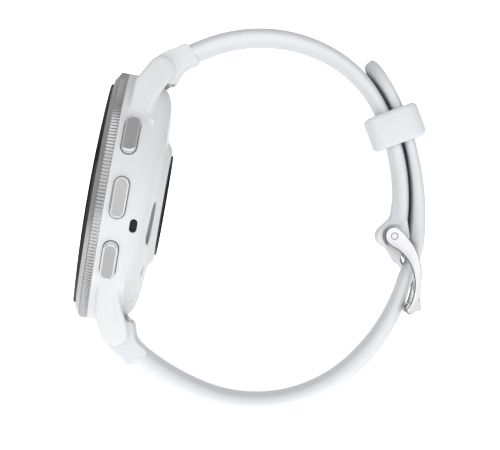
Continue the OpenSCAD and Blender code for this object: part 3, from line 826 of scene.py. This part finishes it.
    def back_cover(self) -> Any:
        """Model the domed back cover with its sensor foot, charging recess and port holes."""
        outer = smooth_path([
            (self.radius - 0.02, -self.band), (21.55, -6.2), (20.45, -7.35), (19.15, -8.12), (17.3, -8.6),
            (14.6, -8.88), (12.3, -9.05), (11.35, -9.25), (10.75, -9.68), (10.25, -9.97), (9.8, -10.03)
        ], 6)
        inner = [(self.window_r + 0.1, -10.03), (self.window_r + 0.1, -9.5), (8.2, -9.5), (8.2, -8.1), (13.5, -7.8),
                 (16.8, -7.5), (18.3, -7.1), (19.2, -6.3), (19.2, -4.0), (20.85, -4.0), (20.85, -self.band)]
        cover = Bench.lathe("back_shell", outer + inner + outer[:1], 200)
        recess = Bench.slab("recess", rounded_rect(5.2, 8.0, 2.2), -12.0, -6.5)
        Bench.join(cover, Bench.turn(recess, Matrix.Translation((*self.port_at, 0))))
        hole = Bench.slab("mic_hole", pill(2.45, 1.34), 15.0, 25.0)
        Bench.join(cover, Bench.turn(hole, along_x(*self.mic_at)))
        for x, y in self.vents_at:
            vent = Bench.lathe("vent", [(0, -10), (0.3, -10), (0.3, -6.6), (0, -6.6)], 20)
            Bench.join(cover, Bench.turn(vent, Matrix.Translation((x, y, 0))))
        for quarter in range(4):
            angle = math.radians(45 + 90 * quarter)
            seat = Bench.lathe("screw_seat", [(0, -12), (1.13, -12), (1.13, -7.75), (0, -7.75)], 32)
            spot = Matrix.Translation((self.screw_r * math.cos(angle), self.screw_r * math.sin(angle), 0))
            Bench.join(cover, Bench.turn(seat, spot))
        return Bench.settle(cover, CASE, "case", "cover_white", (WHITE_COVER,), ("back_cover",), smooth=30)

    def window(self) -> Any:
        """Model the sensor window with its softened rim."""
        profile = [(0, -9.5), (self.window_r, -9.5)]
        profile += arc((self.window_r - 0.3, self.window_z + 0.3), 0.3, 0, -90, 6) + [(0, self.window_z)]
        window = Bench.lathe("sensor_glass", profile, 128)
        finish = FINISHES["sensor_black"]
        return Bench.settle(window, CASE, "case", "sensor_black", (finish,), ("sensor_window",), smooth=50)

    def port_liner(self) -> None:
        """Model the grey sleeve of the charging recess, trimmed to the cover's surface."""
        at_port = Matrix.Translation((*self.port_at, 0))
        sleeve = Bench.turn(Bench.slab("port_sleeve", rounded_rect(5.18, 7.98, 2.19), -9.4, -7.95), at_port)
        room = Bench.slab("port_room", rounded_rect(4.7, 7.5, 1.95), -10.0, -7.0)
        Bench.join(sleeve, Bench.turn(room, at_port))
        surface = smooth_path([(11.3, -9.11), (14.6, -8.85), (17.3, -8.57), (19.15, -8.09)], 6)
        inside = Bench.lathe("surface", [(0, -7.5), (0, -9.2)] + surface + [(19.15, -7.5), (0, -7.5)], 120)
        Bench.join(sleeve, inside, "INTERSECT")
        Bench.settle(sleeve, CASE, "case", "port_grey", (PORT_GREY,), ())

    def dark_inserts(self) -> None:
        """Model the near-black liners of the microphone hole and of the two vent holes: a dark mesh, darkened
        further as painted shade of the holes' depth.
        """
        liner = Bench.slab("microphone_liner", pill(2.4, 1.28), 18.6, 21.15)
        Bench.bevel(liner, 0.08, 2)
        Bench.turn(liner, along_x(*self.mic_at))
        Bench.settle(liner, CASE, "case", "rubber_black", (HOLE_MESH_AND_SHADE,), ())
        profile = [(0, -7.2), (0.2, -7.2), (0.28, -7.1), (0.28, -6.7), (0, -6.7)]
        for number, (x, y) in enumerate(self.vents_at):
            plug = Bench.lathe(f"vent_liner_{number + 1}", profile, 16)
            Bench.turn(plug, Matrix.Translation((x, y, 0)))
            Bench.settle(plug, CASE, "case", "rubber_black", (HOLE_MESH_AND_SHADE,), ())

    def build(self) -> None:
        """Build the case and its fixed outer pieces."""
        self.body()
        self.bezel()
        self.glass()
        self.back_cover()
        self.window()
        self.port_liner()
        self.dark_inserts()
        self.buttons.build()


# ---------------------------------------------------------------------------------------------------
# Strap
# ---------------------------------------------------------------------------------------------------


@dataclass
class StrapPath:
    """Centre line of a strap half in the row's X and Z: arcs of radius, turn in degrees and steps."""

    start: Point
    heading: float
    arcs: Sequence[Tuple[float, float, int]]

    def stations(self) -> List[Tuple[float, float, float, float]]:
        """X, Z, heading in radians and length of each step."""
        x, z = self.start
        heading = math.radians(self.heading)
        length = 0.0
        made = [(x, z, heading, length)]
        for radius, degrees, steps in self.arcs:
            turn = math.radians(degrees)
            side = 1 if turn > 0 else -1
            cx = x - side * radius * math.sin(heading)
            cz = z + side * radius * math.cos(heading)
            for i in range(1, steps + 1):
                a = heading + turn * i / steps
                made.append((cx + side * radius * math.sin(a), cz - side * radius * math.cos(a), a,
                             length + radius * abs(turn) * i / steps))
            x, z, heading, length = made[-1]
        return made

    def at(self, length: float) -> Tuple[float, float, float]:
        """X, Z and heading at a length along the path."""
        made = self.stations()
        for here, there in zip(made, made[1:]):
            if length <= there[3]:
                t = (length - here[3]) / (there[3] - here[3])
                return tuple(a + (b - a) * t for a, b in zip(here[:3], there[:3]))
        return made[-1][:3]


def along(table: Sequence[Point], length: float) -> float:
    """Value of a table of length and value pairs, in a straight line between them."""
    for (l0, v0), (l1, v1) in zip(table, table[1:]):
        if length <= l1:
            return v0 + (v1 - v0) * max(0.0, length - l0) / (l1 - l0)
    return table[-1][1]


@dataclass
class StrapHalf:
    """One half of the silicone strap, with its thick end between the lugs."""

    name: str
    side: int
    path: StrapPath
    thickness: Sequence[Point]
    half_width: Sequence[Point]
    body: str
    tip: float = 0.0
    ridge: float = 0.25
    swell: Sequence[Point] = ((0, 0),)
    partner: List[Point] = field(default_factory=list)

    @staticmethod
    def edge(half: float, rise: float, shoulder: float, share: float) -> List[Point]:
        """Half a face from the side ridge to the middle: round shoulder, then a slow crown.

        Args:
            half: half the strap's width.
            rise: height of the face's middle over the ridge.
            shoulder: width of the shoulder.
            share: part of the rise that the shoulder takes.

        Returns:
            Points from the ridge to the middle.
        """
        made = []
        for i in range(7):
            a = math.radians(15 * i)
            made.append((half - shoulder * (1 - math.cos(a)), share * rise * math.sin(a)))
        flat = half - shoulder
        for i in range(1, 6):
            y = flat * (1 - i / 5)
            made.append((y, rise * (share + (1 - share) * (1 - (y / flat) ** 2))))
        return made

    def section(self, half: float, outer: float, inner: float) -> List[Point]:
        """Closed section of y and outward offset, for the heights of the outer and inner middles."""
        top = self.edge(half, outer - self.ridge, 1.7, 0.62)
        low = self.edge(half, inner + self.ridge, 1.3, 0.72)
        right = [(y, self.ridge + n) for y, n in top]
        left = [(-y, n) for y, n in reversed(right[:-1])]
        under = [(-y, self.ridge - n) for y, n in low[1:]]
        back = [(-y, n) for y, n in reversed(under[:-1])]
        return right + left + under + back

    def outer_line(self) -> List[Point]:
        """Middle of the outer face along the half."""
        line = []
        for x, z, heading, length in self.path.stations():
            rise = self.side * along(self.thickness, length) / 2
            line.append((x - math.sin(heading) * rise, z + math.cos(heading) * rise))
        return line

    def contact(self, x: float, z: float, inner: float, length: float) -> float:
        """Height of the inner middle where this half lies on its partner.

        Args:
            x: station's X.
            z: station's Z.
            inner: height that the face has by itself.
            length: station's length along the half.

        Returns:
            The height at which the middle just rests on the partner's outer face.
        """
        if length < 56 or not self.partner:
            return inner
        spot = Vector((x, z))
        nearest = math.inf
        for first, last in zip(self.partner, self.partner[1:]):
            start, run = Vector(first), Vector(last) - Vector(first)
            share = min(1.0, max(0.0, (spot - start).dot(run) / run.length_squared))
            nearest = min(nearest, (spot - start - run * share).length)
        excess = nearest + 0.03 - inner
        weight = min(1.0, max(0.0, (1.7 - excess) / 0.7))
        return inner + excess * weight * weight * (3 - 2 * weight)

    def band(self) -> Any:
        """Loft the band along its path."""
        stations = [s for s in self.path.stations() if s[3] >= 1.8]
        end = stations[-1][3]
        rings = []
        for x, z, heading, length in stations:
            half = along(self.half_width, length)
            outer = inner = along(self.thickness, length) / 2
            inner = self.contact(x, z, inner, length) + along(self.swell, length)
            if self.tip and length > end - self.tip:
                reach = (length - end + self.tip) / self.tip
                half *= math.sqrt(1 - (0.985 * reach) ** 2.2)
                outer *= math.sqrt(1 - 0.8 * reach ** 10)
                inner *= math.sqrt(1 - 0.8 * reach ** 10)
            rings.append([
                Vector((x - self.side * math.sin(heading) * n, y, z + self.side * math.cos(heading) * n))
                for y, n in self.section(half, outer, inner)
            ])
        return Bench.loft(self.name, rings)

    def lug_end(self) -> Any:
        """Model the thick end that fills the gap between the lugs and follows the case, in the case frame."""
        outline = smooth_outline([
            (21.75, -6.4), (21.75, -8.1), (22.6, -8.75), (24.0, -9.15), (25.2, -10.0), (26.6, -11.9), (28.0, -10.9),
            (29.4, -9.3), (28.3, -7.5), (27.3, -5.8), (26.2, -4.55), (24.8, -3.95), (23.4, -4.1), (22.3, -5.0)
        ], 4)
        end = Bench.turn(Bench.slab("lug_end", outline, -10.85, 10.85), SIDEWAYS)
        Bench.bevel(end, 0.3, 3, 60)
        room = [(0, 1), (22.85, 1), (22.85, -5.1), (20.7, -7.7), (19.3, -8.55), (17.4, -9), (0, -9.5)]
        Bench.join(end, Bench.lathe("case_room", room, 160))
        window = Bench.slab("lever_window", rounded_rect(3.7, 2.4, 0.6), 0.0, 6.0)
        place = Matrix.Translation((4.95, 24.4, -5.8)) @ Matrix.Rotation(math.radians(120), 4, "X")
        Bench.join(end, Bench.turn(window, place))
        if self.side < 0:
            Bench.mirror(end, 1)
        return Bench.turn(end, ROW.inverted() @ CASE)

    def bore(self) -> Any:
        """Cutter for the spring bar's bore, in the row frame."""
        bore = Bench.lathe("bore", [(0, -14), (0.92, -14), (0.92, 14), (0, 14)], 32)
        return Bench.turn(bore, along_y(*self.path.start))

    def build(self, extras: Sequence[Any] = (), cuts: Sequence[Any] = (), nodes: Sequence[str] = ()) -> Any:
        """Build the half from its band, its lug end, added solids and cutters.

        Args:
            extras: solids that are joined on, in the row frame.
            cuts: cutters, in the row frame.
            nodes: CAD nodes that it stands for.

        Returns:
            The finished strap half.
        """
        strap = self.band()
        for solid in (self.lug_end(), *extras):
            Bench.join(strap, solid, "UNION")
        for cutter in (self.bore(), *cuts):
            Bench.join(strap, cutter)
        return Bench.settle(strap, ROW, self.body, "silicone_white", (SILICONE,), nodes, smooth=38)


@dataclass
class Strap:
    """Both strap halves, with the knuckle, the adjusting holes and the keeper."""

    narrow: float = 10.0
    hole_length: float = 5.0
    hole_width: float = 2.4
    hole_pitch: float = 7.0
    holes: int = 8
    pierced: float = 68.2
    cheek_y: float = 11.4
    keeper_size: Tuple[float, float, float] = (9.7, 24.2, 6.2)
    keeper_off: float = -0.2
    keeper_hole: float = 6.0
    keeper_lean: float = 20.0
    keeper_at: Point = (26.49, 51.66)

    def upper(self) -> StrapHalf:
        """The 12 o'clock half."""
        start = joint_place("upper_strap_swing")
        path = StrapPath((start.x, start.z), 29.7, (
            (60.4, -8.5, 8), (26.3, -47.3, 24), (22.6, -36.3, 18), (35.9, -37.9, 24)
        ))
        return StrapHalf(
            "strap_upper", 1, path, ((0, 4.2), (6, 3.7), (12, 3.6), (24, 3.5), (45, 2.8), (70, 2.7)),
            ((0, 10.9), (45, self.narrow + 0.05), (70, self.narrow)), "upper_strap", swell=((42, 0), (56, 0.4)),
        )

    def lower(self) -> StrapHalf:
        """The 6 o'clock half."""
        start = joint_place("lower_strap_swing")
        path = StrapPath((start.x, start.z), -46.6, (
            (43.5, 25, 16), (26.2, 65, 30), (32.5, 29, 16), (46.6, -6.5, 5), (12.2, 20, 8),
            (50.3, 28.6, 22), (34.6, 14.3, 22)
        ))
        return StrapHalf(
            "strap_lower", -1, path,
            ((0, 4.2), (6, 3.7), (40, 3.55), (50, 3.45), (60, 2.95), (67, 2.65), (74, 2.35), (100, 2.4)),
            ((0, 10.9), (50, self.narrow + 0.05), (120, self.narrow)), "lower_strap", tip=8.0, ridge=0.15,
            partner=self.upper().outer_line(),
        )

    def knuckle(self) -> List[Any]:
        """Model the upper half's knuckle round the buckle bar, its cheeks round the bosses and its lip."""
        outline = smooth_outline([
            (26.6, 39.5), (25.85, 37.5), (25.7, 36.1), (25.45, 35.3), (24.95, 34.68), (24.14, 33.94), (23.42, 33.25),
            (23.0, 32.5), (22.88, 31.7), (23.17, 30.85), (23.87, 30.18), (24.75, 29.6), (25.3, 28.8), (25.8, 27.95),
            (26.35, 27.1), (26.8, 26.75), (27.0, 27.4), (27.2, 28.6), (28.0, 30.2), (28.7, 31.4), (28.6, 32.8),
            (28.35, 34.4), (28.2, 36.4), (27.9, 38.4), (27.3, 39.8)
        ], 4)
        knuckle = Bench.turn(Bench.slab("knuckle", outline, -self.cheek_y, self.cheek_y), ACROSS)
        for vertex in knuckle.data.vertices:
            sink = min(1.0, max(0.0, (vertex.co.z - 32.6) / 4.2))
            half = self.cheek_y - (self.cheek_y - 8.4) * sink * sink * (3 - 2 * sink)
            vertex.co.y = math.copysign(half, vertex.co.y)
        Bench.bevel(knuckle, 0.4, 4, 60)
        hinge = joint_place("buckle_swing")
        room = arc((0, 0), 2.15, 60.3, 235.1, 26) + [(-4.6, -6.6), (10, -8), (10, 7), (4, 7)]
        for low, high in ((-20.0, 0.04 - self.narrow), (self.narrow - 0.04, 20.0)):
            cutter = Bench.slab("arm_room", room, low, high)
            Bench.join(knuckle, Bench.turn(cutter, Matrix.Translation((hinge.x, 0, hinge.z)) @ ACROSS))
        return [knuckle]

    def knuckle_cuts(self) -> List[Any]:
        """Cutters for the buckle bar's bore and the tongue's slot."""
        hinge = joint_place("buckle_swing")
        at_hinge = along_y(hinge.x, hinge.z)
        bore = Bench.lathe("bar_bore", [(0, -15), (0.62, -15), (0.62, 15), (0, 15)], 32)
        slot = Bench.lathe("ring_slot", [(0, -1.4), (1.5, -1.4), (1.5, 1.4), (0, 1.4)], 32)
        throat = Bench.slab("throat", [(-1.45, -8), (4.5, -8), (4.5, 0), (-1.45, 0)], -1.4, 1.4)
        Bench.turn(throat, Matrix.Translation((hinge.x, 0, hinge.z)) @ ACROSS)
        return [Bench.turn(bore, at_hinge), Bench.turn(slot, at_hinge), throat]

    def hole_cuts(self, half: StrapHalf) -> List[Any]:
        """Cutters for the lower half's adjusting holes."""
        cuts = []
        for number in range(self.holes):
            x, z, heading = half.path.at(self.pierced + (number - 3) * self.hole_pitch)
            cutter = Bench.slab("hole", pill(self.hole_length, self.hole_width), -4.0, 4.0)
            across = Vector((-math.sin(heading), 0, math.cos(heading)))
            forward = Vector((math.cos(heading), 0, math.sin(heading)))
            side = forward.cross(across)
            turn = Matrix((side, forward, across)).transposed().to_4x4()
            cuts.append(Bench.turn(cutter, Matrix.Translation((x, 0, z)) @ turn))
        return cuts

    def keeper(self) -> Any:
        """Model the chunky sliding keeper: a rounded block with a slot for both layers."""
        across, wide, tall = self.keeper_size
        keeper = Bench.slab("keeper_loop", rounded_rect(across, wide, 2.3), -tall / 2, tall / 2)
        Bench.turn(keeper, Matrix.Translation((self.keeper_off, 0, 0)))
        Bench.bevel(keeper, 0.9, 6, 60)
        slot = Bench.slab("slot", rounded_rect(self.keeper_hole, 2 * self.narrow + 0.7, 0.8), -6.0, 6.0)
        Bench.join(keeper, slot)
        lean = Matrix.Rotation(-math.radians(self.keeper_lean), 4, "Y")
        Bench.turn(keeper, Matrix.Translation((self.keeper_at[0], 0, self.keeper_at[1])) @ lean)
        return Bench.settle(keeper, ROW, "keeper", "silicone_white", (SILICONE,), ("keeper",), smooth=35)

    def build(self) -> None:
        """Build both halves and the keeper."""
        self.upper().build(self.knuckle(), self.knuckle_cuts(), ("strap_top",))
        lower = self.lower()
        lower.build((), self.hole_cuts(lower), ("strap_bottom",))
        self.keeper()


# ---------------------------------------------------------------------------------------------------
# Buckle
# ---------------------------------------------------------------------------------------------------


@dataclass
class Buckle:
    """Polished steel tang buckle: frame, tongue and bar."""

    inner: float = 10.45
    outer: float = 12.2
    end_bar: Point = (28.98, 18.75)
    end_radius: float = 0.95
    tongue_half: float = 0.5

    def arm_outline(self) -> List[Point]:
        """Outline of an arm in the row's X and Z: round boss, broad blade and curled end."""
        return smooth_outline([
            (24.3, 31.85), (24.42, 32.6), (24.85, 33.2), (25.5, 33.52), (26.3, 33.5), (27.2, 32.9), (28.15, 31.91),
            (29.07, 30.64), (29.75, 29.55), (30.3, 28.3), (30.66, 26.98), (30.84, 25.62), (30.88, 24.47),
            (30.83, 23.2), (30.62, 21.9), (30.34, 20.5), (29.98, 19.32), (29.45, 18.3), (28.8, 17.82), (28.2, 18.1),
            (28.1, 18.75), (28.6, 19.3), (29.05, 20.2), (29.35, 21.26), (29.56, 22.4), (29.6, 23.55), (29.46, 24.7),
            (29.18, 25.85), (28.7, 26.98), (28.1, 27.89), (27.4, 28.7), (26.6, 29.38), (25.6, 29.95), (24.85, 30.5),
            (24.42, 31.15)
        ], 4)

    def frame(self) -> Any:
        """Model the frame: two rounded arms and the end bar, with painted shade on their side and bevel faces."""
        arms = []
        for side in (-1, 1):
            low, high = sorted((side * self.inner, side * self.outer))
            arm = Bench.turn(Bench.slab("buckle_loop", self.arm_outline(), low, high), ACROSS)
            arms.append(Bench.bevel(arm, 0.3, 3, 60))
        loop, other = arms
        Bench.join(loop, other, "UNION")
        bar = Bench.lathe("end_bar", [(0, -11.5), (self.end_radius, -11.5), (self.end_radius, 11.5), (0, 11.5)], 40)
        Bench.join(loop, Bench.turn(bar, along_y(*self.end_bar)), "UNION")
        hinge = joint_place("buckle_swing")
        bore = Bench.lathe("bore", [(0, -15), (0.66, -15), (0.66, 15), (0, 15)], 32)
        Bench.join(loop, Bench.turn(bore, along_y(hinge.x, hinge.z)))
        loop.name = "buckle_loop"
        # Side and bevel faces that don't face +X take the darker steel: painted shade along the arms' edges.
        for polygon in loop.data.polygons:
            polygon.material_index = int(abs(polygon.normal.y) < 0.8 and polygon.normal.x < 0.1)
        return Bench.settle(
            loop, ROW, "buckle", "buckle_steel", (BUCKLE_STEEL, BUCKLE_PAINTED_SHADE), ("buckle_frame",), smooth=20
        )

    def tongue(self) -> Any:
        """Model the tongue: ring round the bar, cranked arm and rounded tip."""
        hinge = joint_place("buckle_swing")
        line = [Vector(p) for p in ((hinge.x + 0.25, hinge.z - 0.95), (27.26, 26.91), (30.04, 23.49), (30.62, 18.2))]
        sides: List[List[Point]] = [[], []]
        for i, spot in enumerate(line):
            back = (spot - line[i - 1]).normalized() if i else (line[1] - spot).normalized()
            ahead = (line[i + 1] - spot).normalized() if i < len(line) - 1 else back
            normal = Vector((-back.y - ahead.y, back.x + ahead.x)) / (1 + back.dot(ahead))
            for which, sign in enumerate((1, -1)):
                sides[which].append(tuple(spot + normal * sign * self.tongue_half))
        outline = sides[0] + sides[1][::-1]
        tongue = Bench.turn(Bench.slab("buckle_tongue_arm", outline, -0.9, 0.9), ACROSS)
        Bench.bevel(tongue, 0.28, 4, 20)
        at_hinge = along_y(hinge.x, hinge.z)
        ring = Bench.lathe("ring", [(0, -1.1), (1.1, -1.1), (1.2, -1.0), (1.2, 1.0), (1.1, 1.1), (0, 1.1)], 40)
        Bench.join(tongue, Bench.turn(ring, at_hinge), "UNION")
        bore = Bench.lathe("bore", [(0, -15), (0.65, -15), (0.65, 15), (0, 15)], 32)
        Bench.join(tongue, Bench.turn(bore, at_hinge))
        return Bench.settle(tongue, ROW, "tongue", "buckle_steel", (BUCKLE_STEEL,), ("buckle_tongue",))

    def bar(self) -> Any:
        """Model the buckle bar, with a ring groove and a rounded rim at each end."""
        hinge = joint_place("buckle_swing")
        end = self.outer + 0.02
        head = [(0, end - 0.1), (0.24, end - 0.1), (0.26, end - 0.5), (0.42, end - 0.5), (0.44, end), (0.54, end),
                (0.6, end - 0.08)]
        profile = [(r, -h) for r, h in head] + head[::-1]
        bar = Bench.lathe("buckle_pin", profile, 40)
        Bench.turn(bar, along_y(hinge.x, hinge.z))
        return Bench.settle(bar, ROW, "upper_strap", "buckle_steel", (BUCKLE_STEEL,), ("buckle_bar",))

    def build(self) -> None:
        """Build the buckle."""
        self.frame()
        self.tongue()
        self.bar()


# ---------------------------------------------------------------------------------------------------
# Carried-over CAD nodes and the studio
# ---------------------------------------------------------------------------------------------------


class Internals:
    """CAD nodes whose shape is kept: boards, battery, gaskets, springs, pins and screws."""

    @staticmethod
    def dress() -> None:
        """Give every CAD node the finish of its material slot."""
        slots = {s["node"]: s["material_slot"] for s in frame["record"]["subparts"]}
        for name, node in frame["nodes"].items():
            finish = FINISHES[slots[name]]
            node.data.materials.clear()
            node.data.materials.append(finish.material())
            LOG.info("%s: %s", name, finish.name)


@dataclass
class Studio:
    """Pale floor and backdrop, soft lights and the camera."""

    distance: float = 0.9
    eye: float = 0.03387
    view_width: float = 0.0909
    floor_size: float = 6.0
    card_width: float = 0.36
    card_height: float = 0.3
    card_y: float = 1.6

    @staticmethod
    def paper(name: str, glow: float) -> Any:
        """Make a matt pale paper.

        Args:
            name: name of the material.
            glow: light that it gives off by itself.

        Returns:
            The material.
        """
        paper = bpy.data.materials.new(name)
        paper.use_nodes = True
        shader = paper.node_tree.nodes["Principled BSDF"]
        shader.inputs["Base Color"].default_value = (0.92, 0.92, 0.92, 1)
        shader.inputs["Roughness"].default_value = 0.7
        shader.inputs["Specular IOR Level"].default_value = 0.2
        shader.inputs["Emission Color"].default_value = (1, 1, 1, 1)
        shader.inputs["Emission Strength"].default_value = glow
        return paper

    def sheet(self, name: str, matrix: Matrix, glow: float) -> None:
        """Lay out one flat sheet of paper from a unit plane."""
        Bench.clear()
        bpy.ops.mesh.primitive_plane_add(size=1.0, location=(0, 0, 0))
        sheet = bpy.context.object
        sheet.name = name
        Bench.turn(sheet, matrix)
        sheet.data.materials.clear()
        sheet.data.materials.append(self.paper(name, glow))

    def lamp(self, name: str, place: Vector, size: Point, power: float) -> None:
        """Add a soft rectangular light aimed at the watch."""
        data = bpy.data.lights.new(name, "AREA")
        data.shape = "RECTANGLE"
        data.size, data.size_y = size
        data.energy = power
        lamp = bpy.data.objects.new(name, data)
        bpy.context.scene.collection.objects.link(lamp)
        aim = Vector((0, 0, 0.035)) - place
        lamp.matrix_world = Matrix.Translation(place) @ aim.to_track_quat("-Z", "Y").to_matrix().to_4x4()
        lamp.visible_camera = False

    def lights(self) -> None:
        """Light the watch evenly from the front, with a bank above and a faint rim light."""
        self.lamp("front", Vector((0.15, -1.5, 0.3)), (2.4, 1.4), 9.5)
        self.lamp("bank", Vector((0.0, -0.3, 1.3)), (1.2, 1.0), 0.9)
        self.lamp("rim", Vector((-1.2, 0.12, 0.2)), (0.3, 0.5), 0.15)
        world = bpy.data.worlds.new("studio")
        bpy.context.scene.world = world
        world.use_nodes = True
        background = world.node_tree.nodes["Background"]
        background.inputs["Color"].default_value = (1.0, 1.0, 1.0, 1.0)
        background.inputs["Strength"].default_value = 0.46
        bpy.context.scene.view_settings.view_transform = "Standard"

    def camera(self) -> None:
        """Look at the watch's 3 o'clock side, level, from in front."""
        data = bpy.data.cameras.new("camera")
        data.sensor_width = 36.0
        data.lens = data.sensor_width * self.distance / self.view_width
        data.clip_end = 20.0
        camera = bpy.data.objects.new("camera", data)
        bpy.context.scene.collection.objects.link(camera)
        camera.location = (0, -self.distance, self.eye)
        camera.rotation_euler = (math.pi / 2, 0, 0)
        bpy.context.scene.camera = camera

    def build(self) -> None:
        """Build the studio."""
        self.sheet("floor", Matrix.Diagonal((self.floor_size, self.floor_size, 1, 1)), 0.55)
        stand = Matrix.Translation((0, self.card_y, self.card_height / 2 - 0.01))
        card = stand @ Matrix.Rotation(math.pi / 2, 4, "X")
        self.sheet("backdrop", card @ Matrix.Diagonal((self.card_width, self.card_height, 1, 1)), 0.9)
        self.lights()
        self.camera()


def main() -> None:
    """Build the watch and its studio."""
    Studio().build()
    Internals.dress()
    Case().build()
    Strap().build()
    Buckle().build()


if __name__ == "__main__":
    main()
